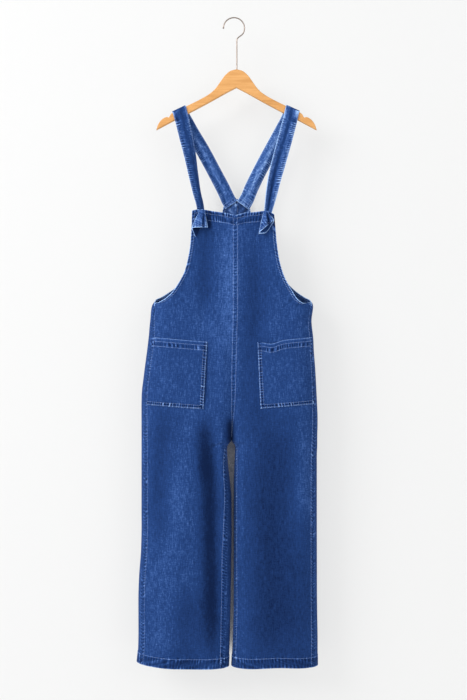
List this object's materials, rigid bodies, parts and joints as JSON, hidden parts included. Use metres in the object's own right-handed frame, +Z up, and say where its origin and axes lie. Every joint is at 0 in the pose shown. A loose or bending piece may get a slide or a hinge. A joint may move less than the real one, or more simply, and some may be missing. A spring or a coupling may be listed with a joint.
{
  "type": "dungarees on a hanger",
  "caption": "Wide-leg cropped denim dungarees with a bib, patch pockets and wide straps, hung flat over a wooden hanger with a wire hook.",
  "frame": {"origin": "inside top of the hanger's wire hook, where a rail carries it", "axes": "+Z up, front of the garment towards -Y, +X to the right of someone who looks at the front"},
  "size_m": [0.4707, 0.0948, 1.6851],
  "materials": {
    "denim": "mid-blue denim with a soft slub, worn lighter along its seams and edges",
    "wood": "honey-coloured varnished wood with a fine lengthwise grain",
    "wire": "warm nickel-plated wire, polished"
  },
  "bodies": {
    "root": {"front_left": "denim", "front_right": "denim", "back_left": "denim", "back_right": "denim", "pocket_left": "denim", "pocket_right": "denim", "strap_left": "denim", "strap_right": "denim", "strap_end_left": "denim", "strap_end_right": "denim", "hanger_bar": "wood", "hanger_hook": "wire"}
  },
  "joints": []
}
